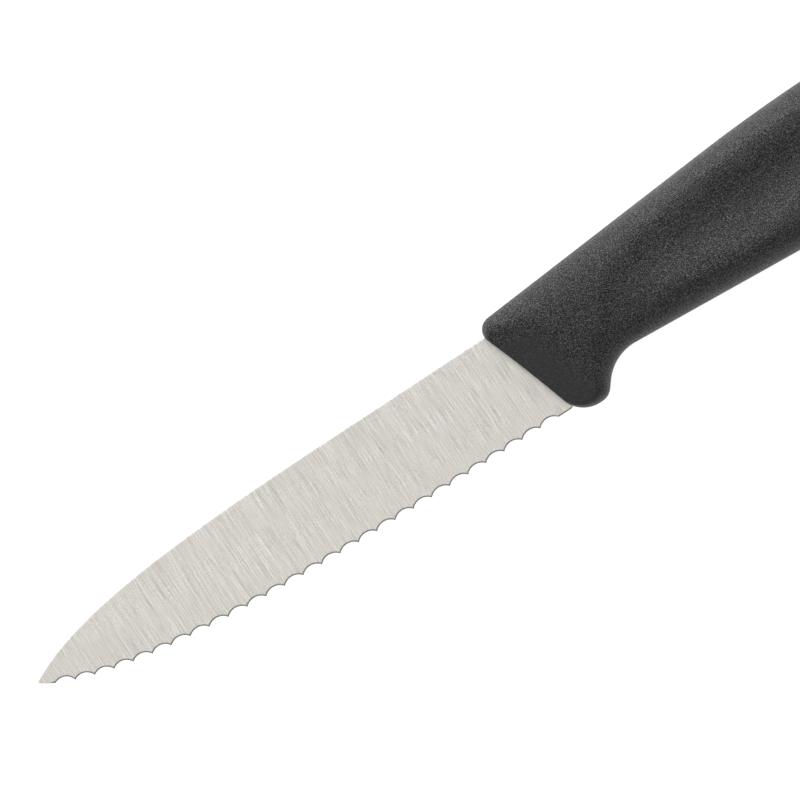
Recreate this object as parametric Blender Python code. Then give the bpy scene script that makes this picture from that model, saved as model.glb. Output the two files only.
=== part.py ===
"""A small serrated paring knife, lying on its side on a table, in metres with +Z up.

It has the two pieces of the real knife: a stamped and ground steel blade whose tang is hidden, and a plastic
grip moulded round that tang, with plastic pegs through the tang's holes as the only fastening.

Every size is measured from the front of the grip, at the height of the blade's point: X runs from the point
towards the butt, Y from the cutting edge towards the spine, and Z through the thickness. At the end both
pieces are moved together, so that the knife lies on Z = 0 with its box centred on the origin.
"""

import math

import bmesh
import bpy
import numpy as np

# Blade
BLADE_LENGTH = 0.0795
SPINE_HEIGHT = 0.0060
EDGE_DROP = 0.00876
SPINE_THICKNESS = 0.0012
POINT_THICKNESS = 0.0006
EDGE_THICKNESS = 0.0005
DISTAL_TAPER = 0.0600
POINT_BLUNTNESS = 0.00024
# Pulls of the two outline curves, away from their ends
SPINE_RUN = 0.0501
SPINE_PULL_POINT = (0.00859, 0.00462)
SPINE_PULL_REAR = 0.0264
EDGE_PULL_POINT = (0.00969, 0.00711)
EDGE_PULL_HEEL = (0.0431, 0.00034)

# Scallops, ground from the face that lies on the table
PLAIN_POINT = 0.00228
PLAIN_HEEL = 0.0025
SCALLOP_PITCH_POINT = 0.00278
SCALLOP_PITCH_HEEL = 0.00298
SCALLOP_BLEND = 0.0240
SCALLOP_DEPTH = 0.00067
BEVEL_WIDTH = 0.0012
BURR_WIDTH = 0.00015
SCALLOP_STEPS = 6

# Steel inside the grip
SHOULDER_DEPTH = 0.0030
HEEL_CHAMFER = 0.0026
TANG_LENGTH = 0.0700
TANG_TOP = 0.0046
TANG_BOTTOM = -0.0034
TANG_CORNER = 0.0022
TANG_LAP = 0.0015
TANG_HOLE_RADIUS = 0.0024
TANG_HOLE_PLACES = (0.0210, 0.0560)
CLEARANCE = 0.0003

# Front edge of the grip, which crosses the blade at a slant
FRONT_SLOPE = 0.340
FRONT_RADIUS = 0.167
FRONT_ROUNDING = 0.0009

# Outline of the grip: corners and the radii that round them
GRIP_LENGTH = 0.1085
NOSE_HEIGHT = 0.00785
NOSE_RADIUS = 0.0020
TOP_RISE = 0.0776
CREST_CORNER = 0.0696
CREST_RADIUS = 0.236
TOP_FALL = 0.200
BUTT_HEIGHT = -0.0020
BUTT_SLANT = 0.14
BUTT_TOP_RADIUS = 0.0065
BUTT_BOTTOM_RADIUS = 0.0050
HOOK_CORNER = (0.0880, -0.00890)
HOOK_FALL = 0.110
HOOK_RADIUS = 0.070
BELLY_CORNER = (0.0625, -0.00934)
BELLY_RADIUS = 0.150
SCOOP_CORNER = (0.01155, -0.00570)
SCOOP_RADIUS = 0.0067
GUARD_FLANK = math.radians(51.3)
GUARD_DROP = 0.01025
GUARD_REAR_RADIUS = 0.0023
GUARD_FRONT_RADIUS = 0.0043

# Thickness of the grip before its relief is cut, and the flat lands that are trimmed off its sides
COLLAR_THICKNESS = 0.0099
GRIP_THICKNESS = 0.0147
BUTT_THICKNESS = 0.0128
COLLAR_SWELL = 0.0340
BUTT_TAPER = 0.0400
LAND_THICKNESS = 0.0126
BUTT_ROUNDING = 0.0052
# Section: how far above the middle the side is thickest, and how full it is above and below that crown
CROWN_RISE = 0.08
FULLNESS_ABOVE = 2.82
FULLNESS_BELOW = 2.64

# Facet at the front of each side, which falls from a slanted line towards the front edge and the guard
FACET_TOP = (0.0010, 0.0072)
FACET_BOTTOM = (0.0071, -0.0043)
FACET_HEIGHT = 0.0042
FACET_FALL = 0.36
FACET_SOFTNESS = 0.00026

# Hollow scooped out of each side, from a crisp border to a ridge; its sizes pass from front to rear
HOLLOW_SLOPE = (0.225, 0.69)
HOLLOW_WIDTH = (0.0057, 0.0111)
HOLLOW_SOFTNESS = (0.00003, 0.00036)
HOLLOW_PASSAGE = (0.0065, 0.0385)
HOLLOW_FADE = 0.0350
# Border of the hollow: it sweeps up from the guard to a shoulder, then runs back under the top of the grip
HOLLOW_START = (0.0060, -0.0104)
HOLLOW_PULL_START = (0.0082, -0.0027)
HOLLOW_PULL_TURN = (0.0163, 0.0061)
HOLLOW_SHOULDER = (0.0234, 0.0066)
HOLLOW_PULL_BACK = (0.0445, 0.0089)
HOLLOW_PULL_REAR = (0.0720, 0.0081)
HOLLOW_REAR = (0.0980, 0.0045)

# Reach of the stations' slant behind the front, and of their lean before the butt
FRONT_BLEND = 0.0280
BUTT_BLEND = 0.0210

# Fineness of the curved faces
SIDE_STEPS = 34
COLLAR_STEP = 0.0011
GRIP_STEP = 0.0030
ROUNDING_STEPS = 5
HOLE_SIDES = 24
TINY = 0.00003


def clear_scene():
    """Removes whatever the scene holds."""
    for obj in list(bpy.data.objects):
        bpy.data.objects.remove(obj, do_unlink=True)


def smooth_step(value, start, end):
    """0 before start, 1 after end, and an S-curve between them."""
    ratio = np.clip((value - start) / (end - start), 0.0, 1.0)
    return ratio * ratio * (3.0 - 2.0 * ratio)


def bezier(start, pull_start, pull_end, end, count=160):
    """Points along a cubic curve."""
    at = np.linspace(0.0, 1.0, count)[:, None]
    corners = [np.asarray(point, float) for point in (start, pull_start, pull_end, end)]
    weights = ((1 - at) ** 3, 3 * at * (1 - at) ** 2, 3 * at * at * (1 - at), at**3)
    return sum(weight * corner for weight, corner in zip(weights, corners))


def lengths_along(points):
    """Distance of each point from the first, along the line through them."""
    steps = np.hypot(*np.diff(points, axis=0).T)
    return np.concatenate([[0.0], np.cumsum(steps)])


def point_at(points, lengths, distance):
    """The place at a distance along a line of points."""
    return np.array([np.interp(distance, lengths, points[:, axis]) for axis in (0, 1)])


def left_of(direction):
    """Unit vector a quarter turn to the left of a direction, which on the edge is towards the spine."""
    unit = direction / np.hypot(*direction)
    return np.array([-unit[1], unit[0]])


def meeting(point_a, slope_a, point_b, slope_b):
    """Where two lines meet, each through a point and as steep as its slope."""
    (ax, ay), (bx, by) = point_a, point_b
    x = (by - ay + slope_a * ax - slope_b * bx) / (slope_a - slope_b)
    return (x, ay + slope_a * (x - ax))


def rounded(corners, step=math.radians(9.0)):
    """A closed outline whose corners, each (x, y, radius), are rounded with arcs."""
    outline = []
    count = len(corners)
    for index, (x, y, radius) in enumerate(corners):
        corner = np.array([x, y])
        before = np.array(corners[index - 1][:2]) - corner
        after = np.array(corners[(index + 1) % count][:2]) - corner
        before /= np.hypot(*before)
        after /= np.hypot(*after)
        half_angle = 0.5 * math.acos(np.clip(before @ after, -1.0, 1.0))
        if radius == 0.0 or half_angle > math.radians(89.9):
            outline.append(corner)
            continue
        middle = before + after
        centre = corner + middle / np.hypot(*middle) * radius / math.sin(half_angle)
        first = corner + before * radius / math.tan(half_angle) - centre
        turn = math.pi - 2 * half_angle
        side = 1.0 if before[0] * after[1] - before[1] * after[0] < 0 else -1.0
        parts = max(2, math.ceil(turn / step), math.ceil(turn * radius / GRIP_STEP))
        for part in range(parts + 1):
            angle = side * turn * part / parts
            cos, sin = math.cos(angle), math.sin(angle)
            outline.append(centre + np.array([first[0] * cos - first[1] * sin, first[0] * sin + first[1] * cos]))
    return np.array(outline)


def grown(corners, margin):
    """A clockwise outline of corners with each side moved outwards by a margin."""
    points = [np.array(corner[:2]) for corner in corners]
    moved = []
    for index, point in enumerate(points):
        before = point - points[index - 1]
        after = points[(index + 1) % len(points)] - point
        out_before, out_after = left_of(before), left_of(after)
        shift = margin / (1.0 + out_before @ out_after)
        x, y = point + (out_before + out_after) * shift
        radius = corners[index][2]
        moved.append((x, y, radius + margin if radius else 0.0))
    return moved


def front_edge(y):
    """X of the grip's slanted, slightly bowed front edge at a height."""
    return -FRONT_SLOPE * y - y * y / (2 * FRONT_RADIUS)


def make_object(name, builder, material):
    """An object at the origin with the built mesh and material, shaded smooth but for sharp edges."""
    mesh = bpy.data.meshes.new(name)
    builder.to_mesh(mesh)
    builder.free()
    if material:
        mesh.materials.append(material)
    mesh.shade_smooth()
    mesh.set_sharp_from_angle(angle=math.radians(35.0))
    obj = bpy.data.objects.new(name, mesh)
    bpy.context.scene.collection.objects.link(obj)
    return obj


def make_material(name, colour, metallic, roughness):
    """A Principled material with one colour."""
    material = bpy.data.materials.new(name)
    material.use_nodes = True
    shader = material.node_tree.nodes["Principled BSDF"]
    shader.inputs["Base Color"].default_value = (*colour, 1.0)
    shader.inputs["Metallic"].default_value = metallic
    shader.inputs["Roughness"].default_value = roughness
    return material


def make_plate(name, outline, holes, thickness, material=None):
    """A flat plate with round holes, half of its thickness on each side of Z = 0."""
    plate = bmesh.new()
    for loop in (outline, *holes):
        verts = [plate.verts.new((x, y, -thickness / 2)) for x, y in loop]
        for index, vert in enumerate(verts):
            plate.edges.new((verts[index - 1], vert))
    bmesh.ops.triangle_fill(plate, use_beauty=True, use_dissolve=False, edges=plate.edges[:])
    raised = bmesh.ops.extrude_face_region(plate, geom=plate.faces[:])
    verts = [item for item in raised["geom"] if isinstance(item, bmesh.types.BMVert)]
    bmesh.ops.translate(plate, verts=verts, vec=(0.0, 0.0, thickness))
    bmesh.ops.recalc_face_normals(plate, faces=plate.faces[:])
    return make_object(name, plate, material)


def cut_or_join(target, other, operation):
    """Adds a Boolean with another object, which becomes a hidden guide."""
    modifier = target.modifiers.new(f"{operation.lower()}_{other.name}", "BOOLEAN")
    modifier.operation = operation
    modifier.solver = "EXACT"
    modifier.object = other
    other.hide_render = True
    other.display_type = "WIRE"


def spine_line():
    """The spine, from the point to the shoulder inside the grip."""
    start = (-BLADE_LENGTH, POINT_BLUNTNESS / 2)
    straight_from = SPINE_RUN - BLADE_LENGTH
    curve = bezier(
        start,
        (start[0] + SPINE_PULL_POINT[0], start[1] + SPINE_PULL_POINT[1]),
        (straight_from - SPINE_PULL_REAR, SPINE_HEIGHT),
        (straight_from, SPINE_HEIGHT),
    )
    return np.vstack([curve, (front_edge(SPINE_HEIGHT) + SHOULDER_DEPTH, SPINE_HEIGHT)])


def edge_line():
    """The cutting edge before it is scalloped, from the point to the grip."""
    start = (-BLADE_LENGTH, -POINT_BLUNTNESS / 2)
    end = (front_edge(-EDGE_DROP), -EDGE_DROP)
    return bezier(
        start,
        (start[0] + EDGE_PULL_POINT[0], start[1] - EDGE_PULL_POINT[1]),
        (end[0] - EDGE_PULL_HEEL[0], end[1] + EDGE_PULL_HEEL[1]),
        end,
    )


def heel_corner():
    """The corner inside the grip where the chamfered heel meets the shoulder."""
    y = HEEL_CHAMFER - EDGE_DROP
    return np.array([front_edge(y) + SHOULDER_DEPTH, y])


def scallop_tips(run):
    """Distances of the scallops' tips along the edge, which lie closer together near the point."""
    places = [0.0]
    while places[-1] < run:
        blend = min(1.0, places[-1] / SCALLOP_BLEND)
        places.append(places[-1] + SCALLOP_PITCH_POINT + (SCALLOP_PITCH_HEEL - SCALLOP_PITCH_POINT) * blend)
    if places[-1] - run > run - places[-2]:
        places.pop()
    return PLAIN_POINT + np.array(places) * run / places[-1]


def ground_edge():
    """Rows of (edge, burr line, bevel line) points, from the point of the blade to the heel's corner."""
    line = edge_line()
    lengths = lengths_along(line)
    tips = scallop_tips(lengths[-1] - PLAIN_POINT - PLAIN_HEEL)
    rows = []

    def plain(place, inward, share):
        rows.append((place, place + inward * BURR_WIDTH * share, place + inward * BEVEL_WIDTH * share))

    slant = left_of(point_at(line, lengths, tips[0]) - line[0])
    for share in (0.08, 0.5):
        plain(point_at(line, lengths, PLAIN_POINT * (share - 0.08)), slant, share)
    for start, end in zip(tips[:-1], tips[1:]):
        tip_a, tip_b = point_at(line, lengths, start), point_at(line, lengths, end)
        chord = tip_b - tip_a
        half_chord = np.hypot(*chord) / 2
        along, inward = chord / (2 * half_chord), left_of(chord)
        radius = (half_chord**2 + SCALLOP_DEPTH**2) / (2 * SCALLOP_DEPTH)
        centre = (tip_a + tip_b) / 2 - inward * (radius - SCALLOP_DEPTH)
        for step in range(SCALLOP_STEPS):
            share = 2 * step / SCALLOP_STEPS - 1
            arcs = []
            for width in (0.0, BURR_WIDTH, BEVEL_WIDTH):
                angle = share * math.asin(half_chord / (radius + width))
                arcs.append(centre + (radius + width) * (inward * math.cos(angle) + along * math.sin(angle)))
            rows.append(tuple(arcs))
    heel = heel_corner()
    upright = left_of(line[-1] - point_at(line, lengths, tips[-1]))
    for distance in (tips[-1], lengths[-1]):
        plain(point_at(line, lengths, distance), upright, 1.0)
    plain(heel, left_of(heel - line[-1]), 0.1)
    return rows


def build_blade(material):
    """The blade: a skin of rows along its edge, bevels and spine, joined to the plate of its tang."""
    spine = spine_line()
    edge = edge_line()
    rows = ground_edge()
    spine_share = (spine[-1][0] - spine[0][0]) / (rows[-1][0][0] - rows[0][0][0])
    skin = bmesh.new()
    sides = 5
    grid = bmesh.ops.create_grid(skin, x_segments=sides - 1, y_segments=len(rows) - 1, size=1.0)
    verts = grid["verts"]

    def half_thickness(place):
        reach = place[0] + BLADE_LENGTH
        at_spine = POINT_THICKNESS + (SPINE_THICKNESS - POINT_THICKNESS) * min(1.0, reach / DISTAL_TAPER)
        top = np.interp(place[0], spine[:, 0], spine[:, 1])
        bottom = np.interp(place[0], edge[:, 0], edge[:, 1])
        share = np.clip((top - place[1]) / (top - bottom), 0.0, 1.0)
        at_edge = min(EDGE_THICKNESS, at_spine)
        return (at_spine + (at_edge - at_spine) * share) / 2

    for index, (cut, burr, bevel) in enumerate(rows):
        x = spine[0][0] + (cut[0] - rows[0][0][0]) * spine_share
        back = np.array([x, np.interp(x, spine[:, 0], spine[:, 1])])
        places = (
            (*back, -half_thickness(back)),
            (*back, half_thickness(back)),
            (*burr, half_thickness(burr)),
            (*cut, half_thickness(cut) - min(BURR_WIDTH, half_thickness(cut))),
            (*bevel, -half_thickness(bevel)),
        )
        for side, place in enumerate(places):
            verts[index * sides + side].co = place
    first, last = verts[:sides], verts[-sides:]
    for ring in (first, last):
        skin.faces.new(ring)
    for low, high in zip(range(0, len(verts) - sides, sides), range(sides, len(verts), sides)):
        skin.faces.new((verts[low], verts[low + sides - 1], verts[high + sides - 1], verts[high]))
    bmesh.ops.recalc_face_normals(skin, faces=skin.faces[:])
    blade = make_object("blade", skin, material)
    tang = make_plate("tang_form", rounded(tang_corners()), hole_loops(TANG_HOLE_RADIUS), SPINE_THICKNESS)
    cut_or_join(blade, tang, "UNION")
    return blade


def tang_corners():
    """The tang's clockwise outline, lapped a little way into the blade."""
    return [
        (front_edge(TANG_TOP) + TANG_LAP, TANG_TOP, 0.0),
        (SHOULDER_DEPTH + TANG_LENGTH, TANG_TOP, TANG_CORNER),
        (SHOULDER_DEPTH + TANG_LENGTH, TANG_BOTTOM, TANG_CORNER),
        (front_edge(TANG_BOTTOM) + TANG_LAP, TANG_BOTTOM, 0.0),
    ]


def slot_corners():
    """The clockwise outline of all the steel inside the grip, run out past the grip's front."""
    heel = heel_corner()
    open_end = front_edge(NOSE_HEIGHT) - SHOULDER_DEPTH
    steel = [
        (open_end, SPINE_HEIGHT, 0.0),
        (front_edge(SPINE_HEIGHT) + SHOULDER_DEPTH, SPINE_HEIGHT, 0.0),
        (front_edge(TANG_TOP) + SHOULDER_DEPTH, TANG_TOP, 0.0),
        *tang_corners()[1:3],
        (front_edge(TANG_BOTTOM) + SHOULDER_DEPTH, TANG_BOTTOM, 0.0),
        (heel[0], heel[1], 0.0),
        (front_edge(-EDGE_DROP), -EDGE_DROP, 0.0),
        (open_end, -EDGE_DROP, 0.0),
    ]
    return grown(steel, CLEARANCE)


def hole_loops(radius):
    """One ring of points for each hole in the tang."""
    height = (TANG_TOP + TANG_BOTTOM) / 2
    turns = np.linspace(0.0, math.tau, HOLE_SIDES, endpoint=False)
    return [
        [(place + radius * math.cos(turn), height + radius * math.sin(turn)) for turn in turns]
        for place in TANG_HOLE_PLACES
    ]


def grip_outlines():
    """The grip's outline as two lines from front to butt: over the top, and under the guard and belly."""
    nose = (front_edge(NOSE_HEIGHT), NOSE_HEIGHT)
    crest = (CREST_CORNER, NOSE_HEIGHT + TOP_RISE * (CREST_CORNER - nose[0]))
    butt, butt_slope = (GRIP_LENGTH, BUTT_HEIGHT), 1.0 / BUTT_SLANT
    butt_top = meeting(crest, -TOP_FALL, butt, butt_slope)
    butt_bottom = meeting(HOOK_CORNER, -HOOK_FALL, butt, butt_slope)
    guard_rear = meeting(SCOOP_CORNER, math.tan(GUARD_FLANK), (0.0, -GUARD_DROP), 0.0)
    guard_front = (front_edge(-GUARD_DROP), -GUARD_DROP)
    front_heights = np.linspace(GUARD_FRONT_RADIUS - GUARD_DROP, NOSE_HEIGHT - 1.6 * NOSE_RADIUS, 5)
    outline = rounded(
        [
            *((front_edge(y), y, 0.0) for y in front_heights),
            (*nose, NOSE_RADIUS),
            (*crest, CREST_RADIUS),
            (*butt_top, BUTT_TOP_RADIUS),
            (*butt_bottom, BUTT_BOTTOM_RADIUS),
            (*HOOK_CORNER, HOOK_RADIUS),
            (*BELLY_CORNER, BELLY_RADIUS),
            (*SCOOP_CORNER, SCOOP_RADIUS),
            (*guard_rear, GUARD_REAR_RADIUS),
            (*guard_front, GUARD_FRONT_RADIUS),
        ]
    )
    at_front = int(np.argmin(np.hypot(outline[:, 0], outline[:, 1])))
    outline = np.roll(outline, -at_front, axis=0)
    at_butt = int(np.argmin(np.hypot(outline[:, 0] - butt[0], outline[:, 1] - butt[1])))
    return outline[: at_butt + 1], np.vstack([outline[:1], outline[: at_butt - 1 : -1]])


def station_x(place, y):
    """X of a station's line at a height: it follows the slanted front, then stands up, then leans with the butt."""
    front_share = 1.0 - smooth_step(place, 0.0, FRONT_BLEND)
    butt_share = smooth_step(place, GRIP_LENGTH - BUTT_BLEND, GRIP_LENGTH)
    return place + front_share * front_edge(y) + butt_share * BUTT_SLANT * (y - BUTT_HEIGHT)


def crossing(outline, place):
    """Where a station's line meets one of the grip's outlines."""
    ahead = outline[:, 0] - station_x(place, outline[:, 1])
    limit = TINY if place < GRIP_LENGTH / 2 else -TINY
    index = int(np.argmax(ahead > limit))
    low, high = ahead[index - 1], ahead[index]
    share = np.clip(-low / (high - low), 0.0, 1.0)
    return outline[index - 1] + (outline[index] - outline[index - 1]) * share


def station_places():
    """Places of the stations: close together round the front, collar and butt, and wider along the grip."""
    turns = [math.pi / 2 * step / ROUNDING_STEPS for step in range(ROUNDING_STEPS + 1)]
    front = [FRONT_ROUNDING * (1 - math.cos(turn)) for turn in turns]
    butt_start = GRIP_LENGTH - BUTT_ROUNDING
    collar = np.linspace(front[-1], FRONT_BLEND, round((FRONT_BLEND - front[-1]) / COLLAR_STEP) + 1)
    grip = np.linspace(FRONT_BLEND, butt_start, round((butt_start - FRONT_BLEND) / GRIP_STEP) + 1)
    butt = [butt_start + BUTT_ROUNDING * math.sin(turn) for turn in turns]
    return [*front[:-1], *collar[:-1], *grip[:-1], *butt]


def soft_excess(value, softness):
    """The part of a value above zero, with the corner at zero rounded off."""
    return softness * np.logaddexp(0.0, value / softness)


def side_reach(place):
    """How far the grip's crown stands out from the middle at a station, before its relief."""
    swell = smooth_step(place, 0.0, COLLAR_SWELL)
    taper = smooth_step(place, GRIP_LENGTH - BUTT_ROUNDING - BUTT_TAPER, GRIP_LENGTH - BUTT_ROUNDING)
    reach = COLLAR_THICKNESS + (GRIP_THICKNESS - COLLAR_THICKNESS) * swell
    reach = (reach + (BUTT_THICKNESS - GRIP_THICKNESS) * taper) / 2
    into_front = np.clip(FRONT_ROUNDING - place, 0.0, FRONT_ROUNDING)
    into_butt = np.clip(place - GRIP_LENGTH + BUTT_ROUNDING, 0.0, BUTT_ROUNDING)
    for radius, depth in ((FRONT_ROUNDING, into_front), (BUTT_ROUNDING, into_butt)):
        reach -= radius - math.sqrt(max(0.0, radius**2 - depth**2))
    return reach


def facet_height(points):
    """Height of the front facet's plane at points on the side."""
    top, bottom = np.array(FACET_TOP), np.array(FACET_BOTTOM)
    across = left_of(top - bottom)
    return FACET_HEIGHT - FACET_FALL * ((points - top) @ across)


def hollow_line():
    """The front and upper border of the hollow in the grip's side."""
    sweep = bezier(HOLLOW_START, HOLLOW_PULL_START, HOLLOW_PULL_TURN, HOLLOW_SHOULDER)
    rear = bezier(HOLLOW_SHOULDER, HOLLOW_PULL_BACK, HOLLOW_PULL_REAR, HOLLOW_REAR)
    return np.vstack([sweep, rear[1:]])


def inside_border(points, border):
    """Distance of points on the side from the hollow's border, negative outside it."""
    offsets = points[:, None, :] - border[None, :, :]
    distances = np.hypot(offsets[..., 0], offsets[..., 1])
    nearest = np.clip(distances.argmin(axis=1), 1, len(border) - 2)
    run = border[nearest + 1] - border[nearest - 1]
    offset = points - border[nearest]
    turn = run[:, 0] * offset[:, 1] - run[:, 1] * offset[:, 0]
    return distances.min(axis=1) * np.where(turn < 0.0, 1.0, -1.0)


def hollow_depth(points, border):
    """How deep the hollow lies at points on the side: it dips from its border and rises again to the ridge."""
    passage = smooth_step(points[:, 0], *HOLLOW_PASSAGE)
    slope, width, softness = (
        front + (rear - front) * passage for front, rear in (HOLLOW_SLOPE, HOLLOW_WIDTH, HOLLOW_SOFTNESS)
    )
    distance = inside_border(points, border)
    dip = slope * distance * np.where(distance > 0.0, 1.0 - distance / width, 1.0)
    fade = 1.0 - smooth_step(points[:, 0], HOLLOW_REAR[0] - HOLLOW_FADE, HOLLOW_REAR[0])
    return fade * soft_excess(dip, softness)


def half_section(top, bottom, reach):
    """Evenly spaced (share of the height, Z) points of half a section, from its top to its bottom."""
    turns = np.linspace(0.0, math.pi, 361)
    above = np.cos(turns) > 0.0
    power = 2.0 / np.where(above, FULLNESS_ABOVE, FULLNESS_BELOW)
    half_height = np.hypot(*(top - bottom)) / 2
    spread = np.where(above, 1.0 - CROWN_RISE, 1.0 + CROWN_RISE)
    heights = CROWN_RISE + spread * np.sign(np.cos(turns)) * np.abs(np.cos(turns)) ** power
    fine = np.column_stack([heights * half_height, reach * np.abs(np.sin(turns)) ** power])
    lengths = lengths_along(fine)
    even = [point_at(fine, lengths, distance) for distance in np.linspace(0.0, lengths[-1], SIDE_STEPS + 1)]
    section = np.array(even)
    section[:, 0] = 0.5 - section[:, 0] / (2 * half_height)
    section[[0, -1], 1] = 0.0
    return section


def build_handle(material):
    """The grip: half a skin lofted through its stations, mirrored, with the slot for the steel cut into it."""
    over, under = grip_outlines()
    border = hollow_line()
    places = station_places()
    skin = bmesh.new()
    grid = bmesh.ops.create_grid(skin, x_segments=SIDE_STEPS, y_segments=len(places) - 1, size=1.0)
    verts = grid["verts"]
    across = SIDE_STEPS + 1
    for index, place in enumerate(places):
        top, bottom = crossing(over, place), crossing(under, place)
        section = half_section(top, bottom, side_reach(place))
        y = top[1] + (bottom[1] - top[1]) * section[:, 0]
        x = station_x(place, y)
        x += top[0] - x[0] + (bottom[0] - x[-1] - top[0] + x[0]) * section[:, 0]
        points = np.column_stack([x, y])
        z = section[:, 1] - soft_excess(section[:, 1] - facet_height(points), FACET_SOFTNESS)
        z = np.clip(z - hollow_depth(points, border), 0.0, LAND_THICKNESS / 2)
        for step in range(across):
            verts[index * across + step].co = (x[step], y[step], z[step])
    for ring in (verts[:across], verts[-across:]):
        skin.faces.new(ring)
    bmesh.ops.recalc_face_normals(skin, faces=skin.faces[:])
    handle = make_object("handle", skin, material)
    mirror = handle.modifiers.new("other_half", "MIRROR")
    mirror.use_axis = (False, False, True)
    mirror.merge_threshold = TINY / 10
    slot = make_plate(
        "slot_form",
        rounded(slot_corners()),
        hole_loops(TANG_HOLE_RADIUS - CLEARANCE),
        SPINE_THICKNESS + 2 * CLEARANCE,
    )
    cut_or_join(handle, slot, "DIFFERENCE")
    return handle


def lay_on_table(objects):
    """Moves everything together, so that the grip's side lies on Z = 0 and the box is centred on the origin."""
    corners = []
    for obj in objects:
        if not obj.hide_render:
            corners.extend(tuple(vert.co) for vert in obj.data.vertices)
    corners = np.array(corners)
    middle = (corners.min(axis=0) + corners.max(axis=0)) / 2
    for obj in objects:
        obj.location = (-middle[0], -middle[1], LAND_THICKNESS / 2)


def main():
    """Builds the knife."""
    clear_scene()
    steel = make_material("blade_steel", (0.62, 0.60, 0.56), 1.0, 0.38)
    plastic = make_material("handle_plastic", (0.035, 0.035, 0.034), 0.0, 0.55)
    build_blade(steel)
    build_handle(plastic)
    lay_on_table(list(bpy.data.objects))


main()
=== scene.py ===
"""Looks of a small serrated paring knife that lies on its side on a pale table.

Everything is in metres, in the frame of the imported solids: X runs from the blade's point to the butt of the
grip, Y from the cutting edge to the spine, and Z up from the table. The two pieces are shaped in the knife's
own frame, whose origin is at the front of the grip, at the height of the blade's point and in the middle of
its thickness, and their meshes are then moved to the place of their solids.
"""

import logging
import math
from dataclasses import dataclass
from enum import Enum
from functools import cached_property
from typing import Any, Iterable, Sequence

import bmesh
import bpy
import numpy as np
from mathutils import Matrix, Vector


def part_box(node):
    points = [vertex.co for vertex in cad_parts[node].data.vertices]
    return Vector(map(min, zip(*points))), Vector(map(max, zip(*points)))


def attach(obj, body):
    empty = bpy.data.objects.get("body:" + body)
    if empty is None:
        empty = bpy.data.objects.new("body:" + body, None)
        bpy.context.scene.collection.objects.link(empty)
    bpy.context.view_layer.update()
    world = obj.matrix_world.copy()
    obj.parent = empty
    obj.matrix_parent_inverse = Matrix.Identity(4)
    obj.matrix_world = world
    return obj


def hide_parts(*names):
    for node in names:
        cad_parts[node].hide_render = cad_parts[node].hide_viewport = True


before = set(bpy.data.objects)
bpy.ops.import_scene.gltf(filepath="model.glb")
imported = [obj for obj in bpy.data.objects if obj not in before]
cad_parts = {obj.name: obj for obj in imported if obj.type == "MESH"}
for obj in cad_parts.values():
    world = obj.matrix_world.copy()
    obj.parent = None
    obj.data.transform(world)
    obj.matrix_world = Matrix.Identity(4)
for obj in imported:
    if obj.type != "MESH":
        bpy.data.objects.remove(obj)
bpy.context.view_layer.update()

BODY = "root"
LOG = logging.getLogger("paring_knife")

Point = tuple[float, float]
# Two numbers of one kind, such as the ends of a range or the values at the front and further back
Pair = tuple[float, float]
Colour = tuple[float, float, float]
# X, Y and the radius of the arc that rounds the corner
Corner = tuple[float, float, float]
# Points across the blade's grind: on the edge, the burr line and the grind line
Row = tuple[np.ndarray, ...]

# Run over rise of the grip's slanted front
FRONT_SLOPE = 0.340
# The range that cloud noise mostly keeps to
NOISE_RANGE: Pair = (0.3, 0.7)
SHARE_RANGE: Pair = (0.0, 1.0)
UNSTRETCHED = (1.0, 1.0, 1.0)
# Half of a corner's angle from which it counts as straight
STRAIGHT = math.radians(89.9)
# Edges sharper than this stay sharp on flat forms
SHARP_ANGLE = math.radians(30.0)


class LampRole(Enum):
    """Where each softbox hangs, as seen in the picture."""

    OVERHEAD = "overhead"
    ABOVE_LOW = "above_low"
    ABOVE_HIGH = "above_high"
    ABOVE_LEFT = "above_left"
    LEFT = "left"
    BELOW = "below"
    RIGHT = "right"


class SteelLook(Enum):
    """The blade's finishes and the painted shade of its lip, each with its place among the material slots."""

    GROUND = 0
    # Dark steel on the lip, as painted shade of the rounded edge
    LIP = 1
    HONED = 2


def smooth_step(value: Any, start: float, end: float) -> Any:
    """An S-curve from 0 to 1.

    Args:
        value: Number or array that is judged.
        start: Value up to which the result is 0.
        end: Value from which the result is 1.

    Returns:
        The share of the way from start to end, eased at both ends.
    """
    ratio = np.clip((value - start) / (end - start), 0.0, 1.0)
    return ratio * ratio * (3.0 - 2.0 * ratio)


def soft_excess(value: Any, softness: Any) -> Any:
    """The part of a value above zero, with its corner rounded off.

    Args:
        value: Number or array.
        softness: Half width of the rounding, in the value's own unit.

    Returns:
        About the value where it is well above zero, and about zero where it is well below.
    """
    return softness * np.logaddexp(0.0, value / softness)


def bezier(start: Point, pull_start: Point, pull_end: Point, end: Point, count: int = 160) -> np.ndarray:
    """Points along a cubic curve.

    Args:
        start: First point.
        pull_start: Control point of the first point.
        pull_end: Control point of the last point.
        end: Last point.
        count: How many points to give.

    Returns:
        An array of (x, y) rows.
    """
    at = np.linspace(0.0, 1.0, count)[:, None]
    corners = [np.asarray(point, float) for point in (start, pull_start, pull_end, end)]
    weights = ((1 - at) ** 3, 3 * at * (1 - at) ** 2, 3 * at * at * (1 - at), at**3)
    return sum(weight * corner for weight, corner in zip(weights, corners))


def lengths_along(points: np.ndarray) -> np.ndarray:
    """Distance of each point of a line from the first, along the line."""
    steps = np.hypot(*np.diff(points, axis=0).T)
    return np.concatenate([[0.0], np.cumsum(steps)])


def point_at(points: np.ndarray, lengths: np.ndarray, distance: float) -> np.ndarray:
    """The place at a distance along a line.

    Args:
        points: Points of the line.
        lengths: Their distances along it.
        distance: How far along the wanted place is.

    Returns:
        The (x, y) of that place.
    """
    return np.array([np.interp(distance, lengths, points[:, axis]) for axis in (0, 1)])


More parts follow.
